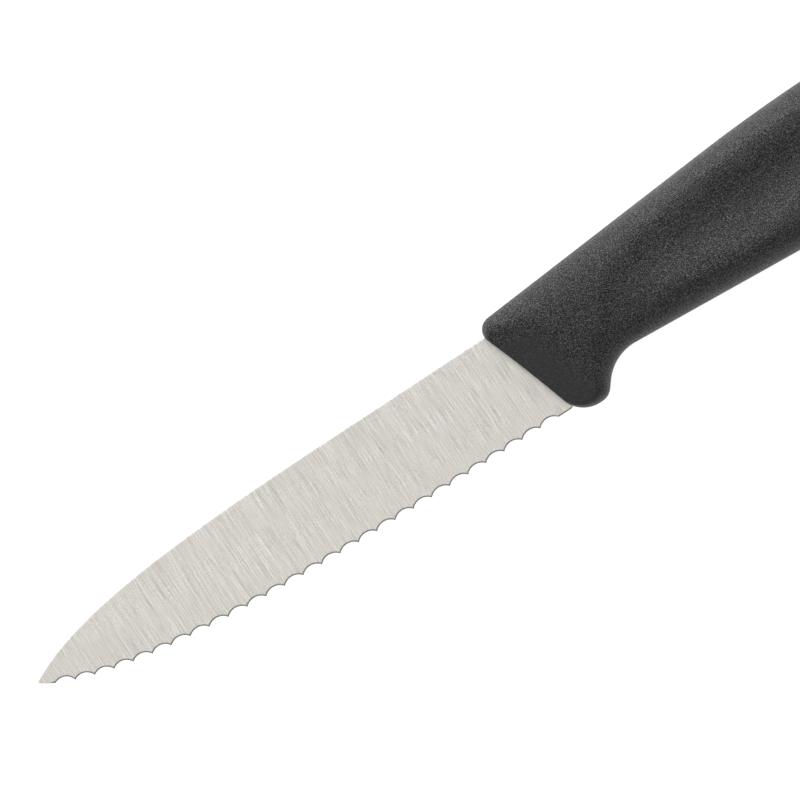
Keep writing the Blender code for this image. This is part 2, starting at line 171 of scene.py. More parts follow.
def left_of(direction: np.ndarray) -> np.ndarray:
    """Unit vector a quarter turn to the left of a direction."""
    unit = direction / np.hypot(*direction)
    return np.array([-unit[1], unit[0]])


def meeting(point_a: Point, slope_a: float, point_b: Point, slope_b: float) -> Point:
    """Where two lines meet.

    Args:
        point_a: A point on the first line.
        slope_a: Rise over run of the first line.
        point_b: A point on the second line.
        slope_b: Rise over run of the second line.

    Returns:
        The (x, y) of the crossing.
    """
    (ax, ay), (bx, by) = point_a, point_b
    x = (by - ay + slope_a * ax - slope_b * bx) / (slope_a - slope_b)
    return (x, ay + slope_a * (x - ax))


def rounded(
    corners: Sequence[Corner], step: float = math.radians(4.0), longest: float = 0.0010
) -> np.ndarray:
    """A closed outline with arcs at its corners.

    Args:
        corners: Corners as (x, y, radius of the arc).
        step: Largest angle between two points of an arc.
        longest: Largest distance between two points of an arc.

    Returns:
        An array of (x, y) rows.
    """
    outline = []
    for index, (x, y, radius) in enumerate(corners):
        corner = np.array([x, y])
        before = np.array(corners[index - 1][:2]) - corner
        after = np.array(corners[(index + 1) % len(corners)][:2]) - corner
        before /= np.hypot(*before)
        after /= np.hypot(*after)
        half_angle = 0.5 * math.acos(np.clip(before @ after, -1.0, 1.0))
        if radius == 0.0 or half_angle > STRAIGHT:
            outline.append(corner)
            continue
        middle = before + after
        centre = corner + middle / np.hypot(*middle) * radius / math.sin(half_angle)
        first = corner + before * radius / math.tan(half_angle) - centre
        turn = math.pi - 2 * half_angle
        way = 1.0 if before[0] * after[1] - before[1] * after[0] < 0 else -1.0
        parts = max(2, math.ceil(turn / step), math.ceil(turn * radius / longest))
        for part in range(parts + 1):
            cos, sin = math.cos(way * turn * part / parts), math.sin(way * turn * part / parts)
            turned = np.array([first[0] * cos - first[1] * sin, first[0] * sin + first[1] * cos])
            outline.append(centre + turned)
    return np.array(outline)


def grown(corners: Sequence[Corner], margin: float) -> list[Corner]:
    """A clockwise outline with each of its sides moved outwards.

    Args:
        corners: Corners as (x, y, radius).
        margin: How far the sides move.

    Returns:
        The moved corners, with their radii grown alike.
    """
    points = [np.array(corner[:2]) for corner in corners]
    moved = []
    for index, point in enumerate(points):
        out_before = left_of(point - points[index - 1])
        out_after = left_of(points[(index + 1) % len(points)] - point)
        x, y = point + (out_before + out_after) * margin / (1.0 + out_before @ out_after)
        radius = corners[index][2]
        moved.append((x, y, radius + margin if radius else 0.0))
    return moved


def object_from(name: str, builder: bmesh.types.BMesh, smooth_angle: float) -> bpy.types.Object:
    """Makes an object at the origin from a bmesh, which is freed.

    Args:
        name: Name of the object and its mesh.
        builder: The finished bmesh.
        smooth_angle: Edges sharper than this angle stay sharp, in radians.

    Returns:
        The object, linked to the scene.
    """
    mesh = bpy.data.meshes.new(name)
    builder.to_mesh(mesh)
    builder.free()
    mesh.shade_smooth()
    mesh.set_sharp_from_angle(angle=smooth_angle)
    obj = bpy.data.objects.new(name, mesh)
    bpy.context.scene.collection.objects.link(obj)
    return obj


def plate(
    name: str, outline: Iterable[Point], holes: Iterable[Iterable[Point]], thickness: float
) -> bpy.types.Object:
    """A flat plate with holes, half of its thickness on each side of Z = 0.

    Args:
        name: Name of the object.
        outline: Outer ring of points.
        holes: Rings of points that are left open.
        thickness: Full thickness of the plate.

    Returns:
        The plate's object.
    """
    builder = bmesh.new()
    for loop in (outline, *holes):
        verts = [builder.verts.new((x, y, -thickness / 2)) for x, y in loop]
        for index, vert in enumerate(verts):
            builder.edges.new((verts[index - 1], vert))
    bmesh.ops.triangle_fill(builder, use_beauty=True, use_dissolve=False, edges=builder.edges[:])
    raised = bmesh.ops.extrude_face_region(builder, geom=builder.faces[:])
    top = [item for item in raised["geom"] if isinstance(item, bmesh.types.BMVert)]
    bmesh.ops.translate(builder, verts=top, vec=(0.0, 0.0, thickness))
    bmesh.ops.recalc_face_normals(builder, faces=builder.faces[:])
    return object_from(name, builder, SHARP_ANGLE)


def combine(target: bpy.types.Object, other: bpy.types.Object, operation: str) -> None:
    """Cuts one object with another or joins them, and removes the other.

    Args:
        target: The object that is kept, whose mesh is replaced by the result.
        other: The object that is used up.
        operation: DIFFERENCE or UNION.
    """
    modifier = target.modifiers.new(operation.lower(), "BOOLEAN")
    modifier.operation = operation
    modifier.solver = "EXACT"
    modifier.object = other
    graph = bpy.context.evaluated_depsgraph_get()
    result = bpy.data.meshes.new_from_object(target.evaluated_get(graph))
    target.modifiers.clear()
    spent = target.data
    target.data = result
    result.name = spent.name
    bpy.data.meshes.remove(spent)
    bpy.data.objects.remove(other, do_unlink=True)


def tinted(colour: Colour, gains: Colour) -> Colour:
    """A colour whose red, green and blue are each multiplied by a gain."""
    return tuple(value * gain for value, gain in zip(colour, gains))


class Recipe:
    """A material's node tree, built up node by node."""

    def __init__(self, name: str) -> None:
        """Starts a material with its Principled shader.

        Args:
            name: Name of the material.
        """
        self.material = bpy.data.materials.new(name)
        self.material.use_nodes = True
        self.tree = self.material.node_tree
        self.shader = self.tree.nodes["Principled BSDF"]
        self.place = self.tree.nodes.new("ShaderNodeTexCoord").outputs["Object"]

    def fixed(self, **values: Any) -> None:
        """Sets sockets of the shader, whose names are given with underscores for spaces."""
        for name, value in values.items():
            self.shader.inputs[name.replace("_", " ")].default_value = value

    def feed(self, name: str, source: bpy.types.NodeSocket) -> None:
        """Links a socket of the shader."""
        self.tree.links.new(source, self.shader.inputs[name])

    def node(self, kind: str, inputs: dict[str | int, Any], operation: str = "") -> bpy.types.Node:
        """Adds a node and gives it its inputs.

        Args:
            kind: The node's type, without the words that the types of all shader nodes start with.
            inputs: What each input gets: a socket that it is linked to, or its own value.
            operation: The node's operation, where it has one.

        Returns:
            The node.
        """
        node = self.tree.nodes.new(f"ShaderNode{kind}")
        if operation:
            node.operation = operation
        for name, value in inputs.items():
            if isinstance(value, bpy.types.NodeSocket):
                self.tree.links.new(value, node.inputs[name])
            else:
                node.inputs[name].default_value = value
        return node

    def mapped(self, scale: Sequence[float], turn: float = 0.0) -> bpy.types.NodeSocket:
        """Object coordinates, stretched and then turned about Z.

        Args:
            scale: Factors along X, Y and Z.
            turn: Angle about Z, in radians.

        Returns:
            The coordinates' socket.
        """
        inputs = {"Vector": self.place, "Rotation": (0.0, 0.0, turn), "Scale": scale}
        return self.node("Mapping", inputs).outputs["Vector"]

    def noise(
        self, where: bpy.types.NodeSocket, scale: float, detail: float = 2.0, rough: float = 0.5
    ) -> bpy.types.NodeSocket:
        """Cloud noise between about 0.2 and 0.8.

        Args:
            where: Coordinates to read.
            scale: Blobs per metre of those coordinates.
            detail: Octaves of finer noise.
            rough: Strength of the finer octaves.

        Returns:
            The socket of the noise's value.
        """
        inputs = {"Vector": where, "Scale": scale, "Detail": detail, "Roughness": rough}
        return self.node("TexNoise", inputs).outputs["Fac"]

    def ranged(self, value: bpy.types.NodeSocket, source: Pair, target: Pair) -> bpy.types.NodeSocket:
        """A value whose range is moved and clamped.

        Args:
            value: The socket that is read.
            source: The two values that become the ends of the target.
            target: The result at each of them.

        Returns:
            The socket of the result.
        """
        names = ("From Min", "From Max", "To Min", "To Max")
        inputs = {"Value": value, **dict(zip(names, (*source, *target)))}
        return self.node("MapRange", inputs).outputs["Result"]

    def faded(self, direction: float, span: Pair) -> bpy.types.NodeSocket:
        """A share that falls from 1 to 0 along one direction of the object.

        Args:
            direction: The direction's angle about Z from X, in radians.
            span: How far along it from the frame's origin the fall starts and ends.

        Returns:
            The socket of the share.
        """
        turned = self.node("SeparateXYZ", {"Vector": self.mapped(UNSTRETCHED, -direction)})
        return self.ranged(turned.outputs["X"], span, SHARE_RANGE[::-1])

    def product(self, first: bpy.types.NodeSocket, second: bpy.types.NodeSocket) -> bpy.types.NodeSocket:
        """The product of two values."""
        return self.node("Math", {0: first, 1: second}, "MULTIPLY").outputs["Value"]

    def summed(self, base: float, *terms: tuple[bpy.types.NodeSocket, float]) -> bpy.types.NodeSocket:
        """A weighted sum.

        Args:
            base: Number that the sum starts from.
            terms: Sockets with their weights.

        Returns:
            The socket of the sum.
        """
        total: Any = base
        for value, weight in terms:
            total = self.node("Math", {0: value, 1: weight, 2: total}, "MULTIPLY_ADD").outputs["Value"]
        return total

    def mixed(self, share: bpy.types.NodeSocket, first: Colour, second: Colour) -> bpy.types.NodeSocket:
        """A blend of two colours.

        Args:
            share: 0 for the first colour, 1 for the second.
            first: Red, green and blue of the first colour.
            second: Red, green and blue of the second colour.

        Returns:
            The socket of the blended colour.
        """
        node = self.tree.nodes.new("ShaderNodeMix")
        node.data_type = "RGBA"
        self.tree.links.new(share, node.inputs["Factor"])
        sockets = [socket for socket in node.inputs if socket.type == "RGBA"]
        for socket, colour in zip(sockets, (first, second)):
            socket.default_value = (*colour, 1.0)
        return next(socket for socket in node.outputs if socket.type == "RGBA")

    def scaled(self, colour: bpy.types.NodeSocket, factor: bpy.types.NodeSocket) -> bpy.types.NodeSocket:
        """A colour made lighter or darker by a factor."""
        return self.node("VectorMath", {0: colour, "Scale": factor}, "SCALE").outputs["Vector"]

    def bumped(self, height: bpy.types.NodeSocket, distance: float, strength: float = 1.0) -> None:
        """Gives the shader a relief.

        Args:
            height: Socket with heights, of which 1 stands for the distance.
            distance: Height of the relief, in metres.
            strength: Share of the relief that shows.
        """
        relief = self.node("Bump", {"Strength": strength, "Distance": distance, "Height": height})
        self.feed("Normal", relief.outputs["Normal"])


@dataclass(frozen=True)
class GroundSteel:
    """Stainless steel ground across the blade, with fine bright and dark streaks from spine to edge."""

    colour: Colour = (0.665, 0.643, 0.596)
    roughness: Pair = (0.31, 0.41)
    streak_width: float = 0.00011
    long_streak: float = 0.0080
    short_streak: float = 0.0016
    long_weight: float = 0.52
    short_weight: float = 0.20
    pit_weight: float = 0.48
    # The sum of the streaks starts here, so that it averages 0
    streak_base: float = -0.60
    streak_height: float = 0.0000025
    contrast: float = 1.08
    bundle_width: float = 0.0012
    bundle_length: float = 0.0060
    bundle_gains: Pair = (0.8, 1.2)
    cloud_scale: float = 120.0
    cloud_stretch: float = 0.5
    cloud_weight: float = 0.02
    # The sum of the tone starts here, so that it averages 1
    tone_base: float = 0.99
    tint_width: float = 0.0006
    tint_stretch: float = 0.2
    tint_range: Pair = (0.35, 0.65)
    warm_gains: Colour = (1.015, 0.995, 0.985)
    cool_gains: Colour = (0.99, 1.003, 1.01)

    def material(self) -> bpy.types.Material:
        """Builds the finish of the blade's faces.

        Returns:
            The material.
        """
        recipe = Recipe("ground_steel")
        recipe.fixed(Metallic=1.0)
        long_ones, short_ones, pits = (
            recipe.noise(recipe.mapped((1.0, self.streak_width / length, 1.0)), 1.0 / self.streak_width, 0.0)
            for length in (self.long_streak, self.short_streak, self.streak_width)
        )
        streaks = recipe.summed(
            self.streak_base,
            (long_ones, self.long_weight),
            (short_ones, self.short_weight),
            (pits, self.pit_weight),
        )
        bundle_shape = (1.0, self.bundle_width / self.bundle_length, 1.0)
        bundles = recipe.noise(recipe.mapped(bundle_shape), 1.0 / self.bundle_width, 1.0)
        weak, strong = (gain * self.contrast for gain in self.bundle_gains)
        tone = recipe.product(streaks, recipe.ranged(bundles, NOISE_RANGE, (weak, strong)))
        cloud = recipe.noise(recipe.mapped((1.0, self.cloud_stretch, 1.0)), self.cloud_scale)
        factor = recipe.summed(self.tone_base, (tone, 1.0), (cloud, self.cloud_weight))
        tints = recipe.noise(recipe.mapped((1.0, self.tint_stretch, 1.0)), 1.0 / self.tint_width)
        warm, cool = (tinted(self.colour, gains) for gains in (self.warm_gains, self.cool_gains))
        tint = recipe.mixed(recipe.ranged(tints, self.tint_range, SHARE_RANGE), warm, cool)
        recipe.feed("Base Color", recipe.scaled(tint, factor))
        recipe.feed("Roughness", recipe.ranged(long_ones, NOISE_RANGE, self.roughness))
        recipe.bumped(streaks, self.streak_height)
        return recipe.material


@dataclass(frozen=True)
class EdgeFacetSteel:
    """Darker steel with finer lines for the facets along the cutting edge; on the lip its dark colour is
    painted shade.
    """

    name: str
    colour: Colour
    roughness: Pair = (0.26, 0.36)
    line_width: float = 0.00006
    line_stretch: float = 0.15
    line_gains: Pair = (0.85, 1.15)
    line_height: float = 0.000003
    line_strength: float = 0.6

    def material(self) -> bpy.types.Material:
        """Builds the steel of the facets.

        Returns:
            The material.
        """
        recipe = Recipe(self.name)
        recipe.fixed(Metallic=1.0)
        where = recipe.mapped((1.0, self.line_stretch, self.line_stretch))
        lines = recipe.noise(where, 1.0 / self.line_width)
        dark, light = (tinted(self.colour, (gain, gain, gain)) for gain in self.line_gains)
        recipe.feed("Base Color", recipe.mixed(recipe.ranged(lines, NOISE_RANGE, SHARE_RANGE), dark, light))
        recipe.feed("Roughness", recipe.ranged(lines, NOISE_RANGE, self.roughness))
        recipe.bumped(lines, self.line_height, self.line_strength)
        return recipe.material


@dataclass(frozen=True)
class GrainedPlastic:
    """Black plastic with the fine grain of a spark-eroded mould.

    The grain's colour is painted shade in its pits and painted light on its peaks, over a bump of the same
    grain.
    On the lower part of the collar, by the blade, both fade, which paints the faint grain that the light
    shows on that facet.
    """

    # Painted shade in the grain's pits, and painted light on its peaks
    pit_shade_colour: Colour = (0.0004, 0.0004, 0.0004)
    peak_light_colour: Colour = (0.114, 0.1135, 0.1117)
    peak_range: Pair = (0.465, 0.70)
    ior: float = 1.49
    specular: float = 0.3
    roughness: Pair = (0.47, 0.53)
    # What a full peak adds to the roughness
    peak_roughness: float = -0.10
    grain_size: float = 0.00014
    grain_height: float = 0.00012
    # Level of the grain that stays where it is while the relief fades
    grain_middle: float = 0.5
    cloud_size: float = 0.0110
    cloud_detail: float = 3.0
    cloud_rough: float = 0.55
    # The fade of the grain's painted shade and light on the collar, where the light shows little grain, ends
    # over two ranges: along this direction, and along Y
    collar_direction: float = math.atan(FRONT_SLOPE)
    collar_span: Pair = (-0.0110, -0.0083)
    collar_top: Pair = (0.0016, 0.0044)
    # Share of the grain's painted shade and light, and of its bump, that is gone on the collar, and the even
    # tone of painted light that takes its place
    collar_fade_share: float = 0.72
    mean_peak: float = 0.24

    def material(self) -> bpy.types.Material:
        """Builds the finish of the grip.

        Returns:
            The material.
        """
        recipe = Recipe("grained_plastic")
        recipe.fixed(IOR=self.ior, Specular_IOR_Level=self.specular)
        where = recipe.mapped(UNSTRETCHED)
        grain = recipe.noise(where, 1.0 / self.grain_size, 1.0)
        cloud = recipe.noise(where, 1.0 / self.cloud_size, self.cloud_detail, self.cloud_rough)
        # Painted shade: the grain fades on the lower collar, where the light shows little of it
        near_blade = recipe.faded(self.collar_direction, self.collar_span)
        under_facet = recipe.faded(math.pi / 2, self.collar_top)
        grain_fade = recipe.product(near_blade, under_facet)
        kept = recipe.summed(1.0, (grain_fade, -self.collar_fade_share))
        kept_peaks = recipe.product(recipe.ranged(grain, self.peak_range, SHARE_RANGE), kept)
        peaks = recipe.summed(0.0, (kept_peaks, 1.0), (grain_fade, self.collar_fade_share * self.mean_peak))
        # The base colour paints shade into the grain's pits and light onto its peaks
        recipe.feed("Base Color", recipe.mixed(peaks, self.pit_shade_colour, self.peak_light_colour))
        rough = recipe.ranged(cloud, NOISE_RANGE, self.roughness)
        recipe.feed("Roughness", recipe.summed(0.0, (rough, 1.0), (peaks, self.peak_roughness)))
        relief = recipe.product(recipe.summed(-self.grain_middle, (grain, 1.0)), kept)
        recipe.bumped(relief, self.grain_height)
        return recipe.material


@dataclass(frozen=True)
class PaleTable:
    """The plain white glass of a light table, lit evenly from below so that shadows on it stay faint."""

    colour: Colour = (0.30, 0.30, 0.30)
    glow: float = 0.92
    roughness: float = 0.9
    mottle_scale: float = 8.0
    mottle_gain: float = 0.97

    def material(self) -> bpy.types.Material:
        """Builds the finish of the table.

        Returns:
            The material.
        """
        recipe = Recipe("pale_table")
        recipe.fixed(Roughness=self.roughness)
        recipe.fixed(Emission_Color=(1.0, 1.0, 1.0, 1.0), Emission_Strength=self.glow)
        mottle = recipe.noise(recipe.mapped(UNSTRETCHED), self.mottle_scale)
        darker = tinted(self.colour, (self.mottle_gain, self.mottle_gain, self.mottle_gain))
        recipe.feed("Base Color", recipe.mixed(mottle, self.colour, darker))
        return recipe.material


@dataclass(frozen=True)
class FrontEdge:
    """The slanted, slightly bowed line where the grip ends and the blade comes out."""

    slope: float = FRONT_SLOPE
    radius: float = 0.167

    def x_at(self, y: Any) -> Any:
        """X of the line at a height, in the knife's own frame."""
        return -self.slope * y - y * y / (2 * self.radius)


@dataclass
class Blade:
    """The steel: a thin blade with a scalloped edge, and the tang that the grip hides."""

    front: FrontEdge
    length: float = 0.0795
    spine_height: float = 0.0060
    edge_drop: float = 0.00876
    spine_thickness: float = 0.0012
    point_thickness: float = 0.0006
    edge_thickness: float = 0.0005
    taper_length: float = 0.0600
    point_bluntness: float = 0.00024
    spine_run: float = 0.0501
    spine_pull_point: Point = (0.00859, 0.00462)
    spine_pull_rear: float = 0.0264
    spine_rounding: float = 0.00010
    spine_flat: float = 0.00015
    # Shares of the blade's height that the spine's rounding and the flat beside it may take
    rounding_share: float = 0.25
    flat_share: float = 0.125
    corner_points: int = 4
    edge_pull_point: Point = (0.00969, 0.00711)
    edge_pull_heel: Point = (0.0431, 0.00034)
    edge_points: int = 400
    plain_point: float = 0.00232
    plain_heel: float = 0.00225
    # Shares of its full width that the grind has on the rows of the point and at the heel
    point_shares: tuple[float, ...] = (0.08, 0.25, 0.5, 0.8)
    heel_share: float = 0.1
    pitch_point: float = 0.00278
    pitch_heel: float = 0.00298
    pitch_blend: float = 0.0240
    scallop_depth: float = 0.00067
    scallop_steps: int = 14
    grind_width: float = 0.0012
    grind_hollow: float = 0.00004
    hollow_shares: Pair = (0.33, 0.67)
    burr_width: float = 0.00021
    shoulder_depth: float = 0.0030
    heel_chamfer: float = 0.0026
    tang_length: float = 0.0700
    tang_top: float = 0.0046
    tang_bottom: float = -0.0034
    tang_corner: float = 0.0022
    tang_lap: float = 0.0015
    hole_radius: float = 0.0024
    hole_places: Pair = (0.0210, 0.0560)
    hole_sides: int = 48
    smooth_angle: float = math.radians(18.0)
    ground: GroundSteel = GroundSteel()
    # The lip's dark steel colour is painted shade along the rounded cutting edge
    lip: EdgeFacetSteel = EdgeFacetSteel("lip_painted_shade_steel", (0.285, 0.281, 0.272))
    honed: EdgeFacetSteel = EdgeFacetSteel("honed_steel", (0.42, 0.41, 0.39))

    @cached_property
    def spine(self) -> np.ndarray:
        """The spine, from the point to the shoulder inside the grip.

        Returns:
            An array of (x, y) rows.
        """
        start = (-self.length, self.point_bluntness / 2)
        straight_from = self.spine_run - self.length
        curve = bezier(
            start,
            (start[0] + self.spine_pull_point[0], start[1] + self.spine_pull_point[1]),
            (straight_from - self.spine_pull_rear, self.spine_height),
            (straight_from, self.spine_height),
        )
        return np.vstack([curve, (self.shoulder_x(self.spine_height), self.spine_height)])

    @cached_property
    def edge(self) -> np.ndarray:
        """The cutting edge before it is scalloped, from the point to the grip.

        Returns:
            An array of (x, y) rows.
        """
        start = (-self.length, -self.point_bluntness / 2)
        end = (self.front.x_at(-self.edge_drop), -self.edge_drop)
        return bezier(
            start,
            (start[0] + self.edge_pull_point[0], start[1] - self.edge_pull_point[1]),
            (end[0] - self.edge_pull_heel[0], end[1] + self.edge_pull_heel[1]),
            end,
            self.edge_points,
        )

    @property
    def heel(self) -> np.ndarray:
        """The (x, y) of the heel's upper corner inside the grip."""
        y = self.heel_chamfer - self.edge_drop
        return np.array([self.shoulder_x(y), y])

    @property
    def burr_column(self) -> int:
        """Place of the burr line's point in a ring, after both rounded corners and the face's middle."""
        return 2 * (1 + self.corner_points) + 1

    def shoulder_x(self, y: float) -> float:
        """X of the steel's shoulder inside the grip, at a height."""
        return self.front.x_at(y) + self.shoulder_depth

    def scallop_tips(self, run: float) -> np.ndarray:
        """Distances of the scallops' tips along the edge.

        Args:
            run: Length of the scalloped stretch.

        Returns:
            The distances, closer together near the point.
        """
        places = [0.0]
        while places[-1] < run:
            blend = min(1.0, places[-1] / self.pitch_blend)
            places.append(places[-1] + self.pitch_point + (self.pitch_heel - self.pitch_point) * blend)
        if places[-1] - run > run - places[-2]:
            places.pop()
        return self.plain_point + np.array(places) * run / places[-1]

    def plain_row(self, place: np.ndarray, inward: np.ndarray, share: float) -> Row:
        """A row of points across the grind where the edge has no scallop.

        Args:
            place: The (x, y) of the edge.
            inward: Unit vector from the edge into the blade.
            share: Share of its full width that the grind has there.

        Returns:
            The points on the edge, the burr line and the grind line.
        """
        widths = (0.0, self.burr_width * share * share, self.grind_width * share)
        return tuple(place + inward * width for width in widths)

    def scallop_rows(self, first_tip: np.ndarray, last_tip: np.ndarray) -> list[Row]:
        """Rows of points across the grind of one scallop, on arcs round one centre.

        Args:
            first_tip: The (x, y) of its first tip.
            last_tip: The (x, y) of its last tip, which gets no row.

        Returns:
            Rows of (edge, burr line, grind line) points.
        """
        chord = last_tip - first_tip
        half_chord = np.hypot(*chord) / 2
        along, inward = chord / (2 * half_chord), left_of(chord)
        radius = (half_chord**2 + self.scallop_depth**2) / (2 * self.scallop_depth)
        centre = (first_tip + last_tip) / 2 - inward * (radius - self.scallop_depth)
        rows = []
        for step in range(self.scallop_steps):
            share = 2 * step / self.scallop_steps - 1
            row = []
            for width in (0.0, self.burr_width, self.grind_width):
                angle = share * math.asin(half_chord / (radius + width))
                way = inward * math.cos(angle) + along * math.sin(angle)
                row.append(centre + (radius + width) * way)
            rows.append(tuple(row))
        return rows

    def edge_rows(self) -> list[Row]:
        """All rows of points across the grind, from the blade's point to its heel inside the grip.

        Returns:
            Rows of (edge, burr line, grind line) points.
        """
        lengths = lengths_along(self.edge)
        distances = self.scallop_tips(lengths[-1] - self.plain_point - self.plain_heel)
        tips = [point_at(self.edge, lengths, distance) for distance in distances]
        slant, upright = left_of(tips[0] - self.edge[0]), left_of(self.edge[-1] - tips[-1])
        rows = []
        for share in self.point_shares:
            distance = self.plain_point * (share - self.point_shares[0])
            rows.append(self.plain_row(point_at(self.edge, lengths, distance), slant, share))
        for first_tip, last_tip in zip(tips[:-1], tips[1:]):
            rows.extend(self.scallop_rows(first_tip, last_tip))
        for place in (tips[-1], self.edge[-1]):
            rows.append(self.plain_row(place, upright, 1.0))
        rows.append(self.plain_row(self.heel, left_of(self.heel - self.edge[-1]), self.heel_share))
        return rows

    def tang_corners(self) -> list[Corner]:
        """The tang's clockwise outline, lapped a little way into the blade.

        Returns:
            Corners as (x, y, radius).
        """
        end = self.shoulder_depth + self.tang_length
        return [
            (self.front.x_at(self.tang_top) + self.tang_lap, self.tang_top, 0.0),
            (end, self.tang_top, self.tang_corner),
            (end, self.tang_bottom, self.tang_corner),
            (self.front.x_at(self.tang_bottom) + self.tang_lap, self.tang_bottom, 0.0),
        ]

    def buried_corners(self, open_end: float) -> list[Corner]:
        """The clockwise outline of all the steel inside the grip.

        Args:
            open_end: X to which the outline runs out past the grip's front.

        Returns:
            Corners as (x, y, radius).
        """
        return [
            (open_end, self.spine_height, 0.0),
            (self.shoulder_x(self.spine_height), self.spine_height, 0.0),
            (self.shoulder_x(self.tang_top), self.tang_top, 0.0),
            *self.tang_corners()[1:3],
            (self.shoulder_x(self.tang_bottom), self.tang_bottom, 0.0),
            (*self.heel, 0.0),
            (self.front.x_at(-self.edge_drop), -self.edge_drop, 0.0),
            (open_end, -self.edge_drop, 0.0),
        ]

    def hole_rings(self, radius: float) -> list[list[Point]]:
        """One ring of points for each hole in the tang.

        Args:
            radius: Radius of the rings.

        Returns:
            The rings.
        """
        height = (self.tang_top + self.tang_bottom) / 2
        turns = np.linspace(0.0, math.tau, self.hole_sides, endpoint=False)
        return [
            [(place + radius * math.cos(turn), height + radius * math.sin(turn)) for turn in turns]
            for place in self.hole_places
        ]

    def half_thickness(self, place: np.ndarray) -> float:
        """Half of the steel's thickness, which falls towards the point and the edge.

        Args:
            place: The (x, y) of a place on its side.

        Returns:
            The half thickness there.
        """
        reach = min(1.0, (place[0] + self.length) / self.taper_length)
        at_spine = self.point_thickness + (self.spine_thickness - self.point_thickness) * reach
        top, bottom = (np.interp(place[0], line[:, 0], line[:, 1]) for line in (self.spine, self.edge))
        share = np.clip((top - place[1]) / (top - bottom), 0.0, 1.0)
        return (at_spine + (min(self.edge_thickness, at_spine) - at_spine) * share) / 2

    def ring(self, row: Row, back: np.ndarray) -> list[Vector]:
        """The section of the blade at one row, as a closed ring of points.

        Args:
            row: Edge, burr line and grind line points of the row.
            back: The row's point on the spine.

        Returns:
            Points from the spine over the viewer's face and the edge, and back along the table's face.
        """
        cut, burr, grind = row
        height = np.hypot(*(cut - back))
        down = (cut - back) / height
        radius = min(self.spine_rounding, self.half_thickness(back) / 2, height * self.rounding_share)
        half = self.half_thickness(back + down * radius)
        level = back + down * (radius + min(self.spine_flat, height * self.flat_share))
        corner = [(level, self.half_thickness(level))]
        for turn in np.linspace(0.0, math.pi / 2, self.corner_points):
            inset, lift = radius * (1 - math.sin(turn)), half - radius * (1 - math.cos(turn))
            corner.append((back + down * inset, lift))
        places = [(place, -lift) for place, lift in corner]
        places.extend(reversed(corner))
        for place in ((back + burr) / 2, burr):
            places.append((place, self.half_thickness(place)))
        lip = self.half_thickness(cut)
        low, high = lip - min(self.burr_width, lip), -self.half_thickness(grind)
        places.append((cut, low))
        for share in self.hollow_shares:
            bow = self.grind_hollow * 4 * share * (1 - share) * min(1.0, lip / self.grind_hollow / 4)
            places.append((cut + (grind - cut) * share, low + (high - low) * share + bow))
        for place in (grind, (back + grind) / 2):
            places.append((place, -self.half_thickness(place)))
        return [Vector((place[0], place[1], lift)) for place, lift in places]

    def steel_look_at(self, column: int) -> SteelLook:
        """The steel of the strip of faces that starts at a column of the rings.

        Args:
            column: Place of the strip's first point in its ring.

        Returns:
            The steel's look: a finish, or the painted shade of the lip.
        """
        if column == self.burr_column:
            return SteelLook.LIP
        honed = self.burr_column < column <= self.burr_column + 1 + len(self.hollow_shares)
        return SteelLook.HONED if honed else SteelLook.GROUND

    def build(self, shift: Vector) -> bpy.types.Object:
        """Models the blade and its tang.

        Args:
            shift: Where the knife's own origin lies in the frame.

        Returns:
            The blade's object.
        """
        rows = self.edge_rows()
        first, last = rows[0][0][0], rows[-1][0][0]
        share = (self.spine[-1][0] - self.spine[0][0]) / (last - first)
        rings = []
        for row in rows:
            x = self.spine[0][0] + (row[0][0] - first) * share
            rings.append(self.ring(row, np.array([x, np.interp(x, self.spine[:, 0], self.spine[:, 1])])))
        sides = len(rings[0])
        skin = bmesh.new()
        grid = bmesh.ops.create_grid(skin, x_segments=sides - 1, y_segments=len(rings) - 1, size=1.0)
        verts = grid["verts"]
        for vert, place in zip(verts, (place for ring in rings for place in ring)):
            vert.co = place
        for low in range(0, len(verts) - sides, sides):
            high = low + sides
            skin.faces.new((verts[low], verts[high - 1], verts[high + sides - 1], verts[high]))
        for ring in (verts[:sides], verts[-sides:]):
            skin.faces.new(ring)
        for face in skin.faces:
            columns = {vert.index % sides for vert in face.verts}
            if len(columns) == 2:
                face.material_index = self.steel_look_at(min(columns)).value
        bmesh.ops.recalc_face_normals(skin, faces=skin.faces[:])
        piece = object_from("knife_blade", skin, self.smooth_angle)
        for steel_look in (self.ground, self.lip, self.honed):
            piece.data.materials.append(steel_look.material())
        outline, holes = rounded(self.tang_corners()), self.hole_rings(self.hole_radius)
        combine(piece, plate("tang_form", outline, holes, self.spine_thickness), "UNION")
        piece.data.transform(Matrix.Translation(shift))
        return piece

    def dress(self, piece: bpy.types.Object) -> None:
        """Lets the blade ride on its body in place of its solid.

        Args:
            piece: The blade's object.
        """
        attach(piece, BODY)
        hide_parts("blade")


